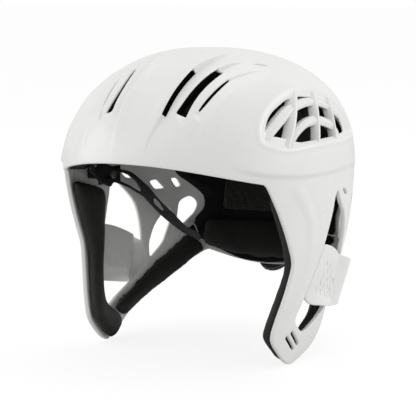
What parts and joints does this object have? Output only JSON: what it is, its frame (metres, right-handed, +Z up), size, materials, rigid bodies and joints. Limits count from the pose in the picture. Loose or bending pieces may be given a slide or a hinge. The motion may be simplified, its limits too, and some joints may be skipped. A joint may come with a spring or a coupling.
{
  "type": "water sports helmet",
  "caption": "White full-cut water sports helmet with cheek arms, slotted crown, ribbed side vents, ear covers, black foam pads and a dial-drawn head harness.",
  "frame": {"origin": "centre of the head cavity, at the height of the brow corners: where the head seats", "axes": "+Z up to the crown, the face looks along -Y, +X is the wearer's left"},
  "size_m": [0.2074, 0.2484, 0.2322],
  "materials": {
    "shell_white": "glossy moulded white",
    "foam": "closed cell foam with a moulded skin",
    "pad_cloth": "knitted mesh over foam",
    "pad_skin": "moulded foam with a satin skin",
    "harness": "satin black",
    "grey_plastic": "satin grey",
    "steel": "stainless",
    "grip": "moulded rubber",
    "lace": "braided cord"
  },
  "bodies": {
    "shell": {"outer_shell": "shell_white", "ear_cover_left": "shell_white", "ear_cover_right": "shell_white", "impact_liner": "foam", "rear_liner": "foam", "crown_pad_front": "pad_cloth", "crown_pad_rear": "pad_cloth", "crown_pad_left": "pad_cloth", "crown_pad_right": "pad_cloth", "occipital_pad": "pad_cloth", "nape_pad": "pad_cloth", "cheek_pad_left": "pad_skin", "cheek_pad_right": "pad_skin", "jaw_pad_left": "pad_skin", "jaw_pad_right": "pad_skin", "temple_guide_left": "harness", "temple_guide_right": "harness", "guide_rivets": "grey_plastic", "dial_base": "harness", "dial_screws": "steel", "dial_axle": "steel", "lace": "lace"},
    "harness": {"brow_band": "harness", "brow_pad": "pad_cloth", "harness_arm_left": "harness", "harness_arm_right": "harness", "harness_rivets": "grey_plastic"},
    "spool": {"dial_spool": "grey_plastic"},
    "knob": {"dial_knob": "harness", "dial_grip": "grip"}
  },
  "joints": [
    {"name": "harness_tighten", "type": "slide", "parent": "shell", "child": "harness", "axis": [0, 1, 0], "range_m": [0, 0.008], "deforming": ["lace"]},
    {"name": "dial_turn", "type": "hinge", "parent": "shell", "child": "spool", "pos_m": [0, 0.10302, -0.0775], "axis": [0, -0.7475, 0.6643], "range_deg": [0, 115]},
    {"name": "knob_release", "type": "slide", "parent": "spool", "child": "knob", "axis": [0, 0.7475, -0.6643], "range_m": [0, 0.0025]}
  ],
  "couplings": [
    {"joint": "dial_turn", "follows": "harness_tighten", "rad_per_m": 250}
  ]
}
